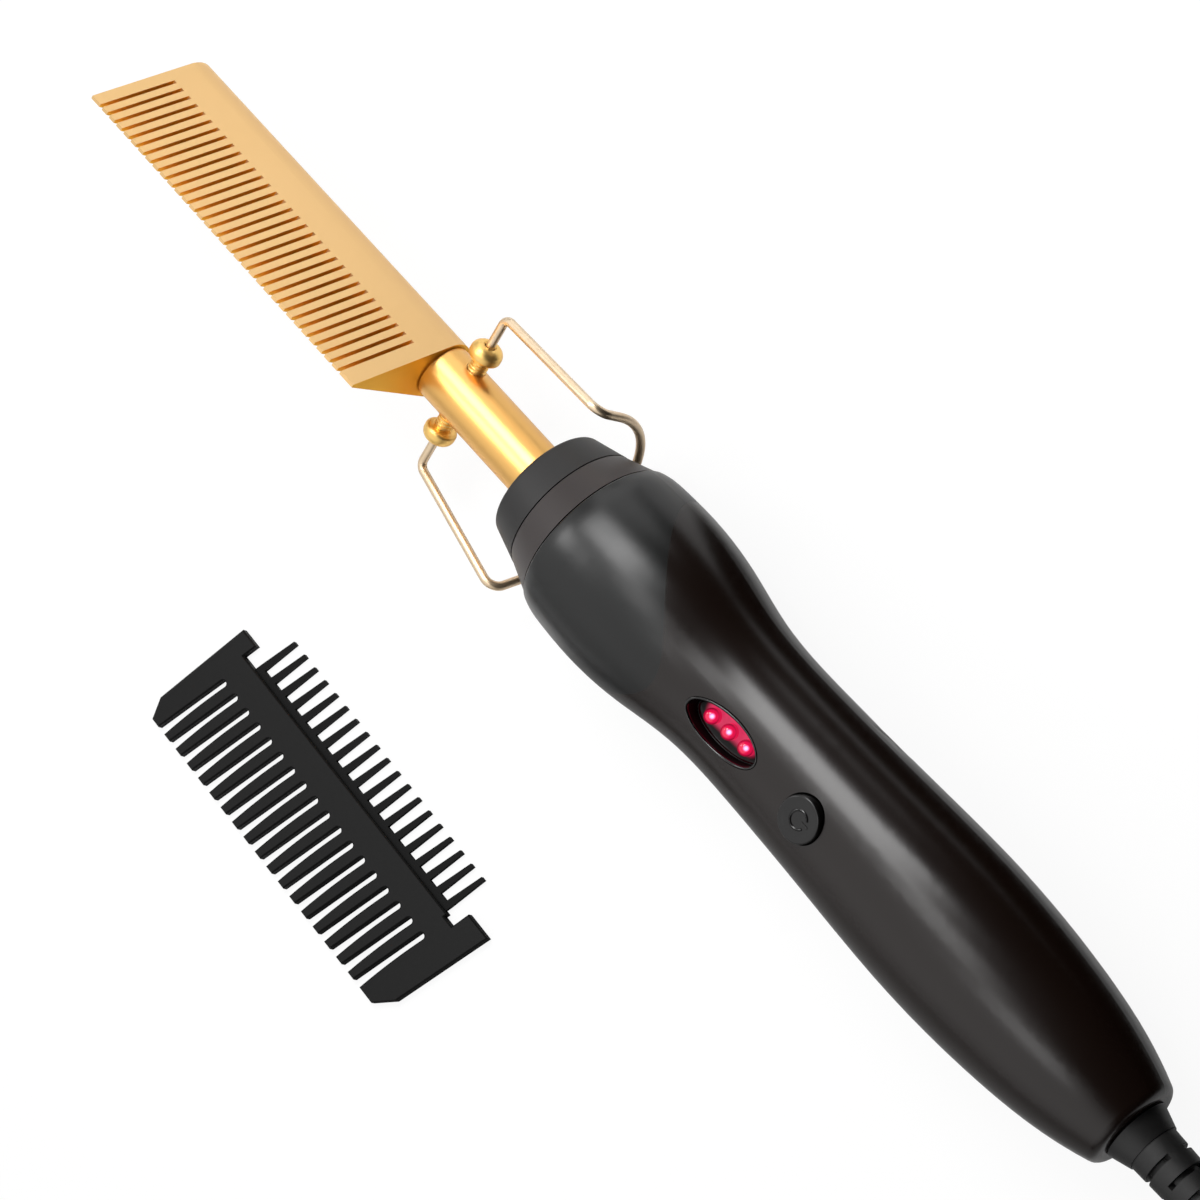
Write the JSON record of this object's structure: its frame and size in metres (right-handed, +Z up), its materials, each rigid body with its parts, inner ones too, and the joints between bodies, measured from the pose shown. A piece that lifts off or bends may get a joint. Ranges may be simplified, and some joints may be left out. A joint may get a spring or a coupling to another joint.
{
  "type": "electric hot comb",
  "caption": "Electric hot comb with a slotted gold comb head, folding wire stand, black handle with lit window and button, swivel cord, plug and a loose guard comb.",
  "frame": {"origin": "on the barrel's axis, at the pivot of the wire stand", "axes": "+X along the barrel and handle towards the cord, +Z up from the table; the tooth plane leans 25 degrees from vertical towards -Y"},
  "size_m": [0.4574, 0.1529, 0.0427],
  "materials": {
    "head_gold": "matt champagne gold coat",
    "barrel_gold": "satin gold plate",
    "ceramic_white": "matt",
    "screw_gold": "bright",
    "wire_brass": "brass plated",
    "collar_dark": "fine matt",
    "collar_brown": "fine matt",
    "grip_black": "satin soft-touch",
    "steel": "plated",
    "board_green": "matt",
    "lens_clear": "clear",
    "led_red": "glowing red",
    "switch_black": "matt",
    "button_black": "matt",
    "lead_white": "silicone sleeve",
    "lead_brown": "pvc",
    "gland_black": "satin",
    "boot_black": "satin",
    "cord_black": "satin pvc",
    "tie_black": "woven",
    "plug_black": "satin pvc",
    "pin_nickel": "nickel plate",
    "guard_black": "satin moulded"
  },
  "bodies": {
    "comb": {"comb_head": "head_gold", "barrel_tube": "barrel_gold", "heater": "ceramic_white", "pivot_screw_left": "screw_gold", "pivot_screw_right": "screw_gold", "nose_ring": "collar_dark", "collar_ring": "collar_brown", "insulator_disc": "board_green", "grip_upper": "grip_black", "grip_lower": "grip_black", "shell_screw_1": "steel", "shell_screw_2": "steel", "shell_screw_3": "steel", "circuit_board": "board_green", "board_screw_1": "steel", "board_screw_2": "steel", "window_lens": "lens_clear", "led_1": "led_red", "led_2": "led_red", "led_3": "led_red", "tact_switch": "switch_black", "heater_lead_a": "lead_white", "heater_lead_b": "lead_white", "mains_lead_a": "lead_brown", "mains_lead_b": "lead_brown", "cable_anchor": "steel", "cord_lead": "cord_black", "cord_coil": "cord_black", "coil_tie": "tie_black", "cord_tail": "cord_black", "plug_body": "plug_black", "plug_pin_a": "pin_nickel", "plug_pin_b": "pin_nickel"},
    "stand": {"stand_wire": "wire_brass"},
    "button": {"power_button": "button_black"},
    "swivel": {"swivel_gland": "gland_black", "strain_boot": "boot_black"},
    "guard": {"guard_plate": "guard_black", "guard_fine": "guard_black"}
  },
  "joints": [
    {"name": "stand_pivot", "type": "hinge", "parent": "comb", "child": "stand", "pos_m": [0, 0, 0], "axis": [0, 0.9063, 0.4226], "range_deg": [0, 130]},
    {"name": "button_press", "type": "slide", "parent": "comb", "child": "button", "axis": [0, -0.2823, 0.9593], "range_m": [-0.0008, 0], "stiffness_N_per_m": 1500, "springref_m": 0.0006},
    {"name": "cord_swivel", "type": "hinge", "parent": "comb", "child": "swivel", "pos_m": [0.1972, 0, 0], "axis": [1, 0, 0], "continuous": true},
    {"name": "guard_lift", "type": "slide", "parent": "comb", "child": "guard", "axis": [0, 0, 1], "range_m": [0, 0.06]}
  ]
}
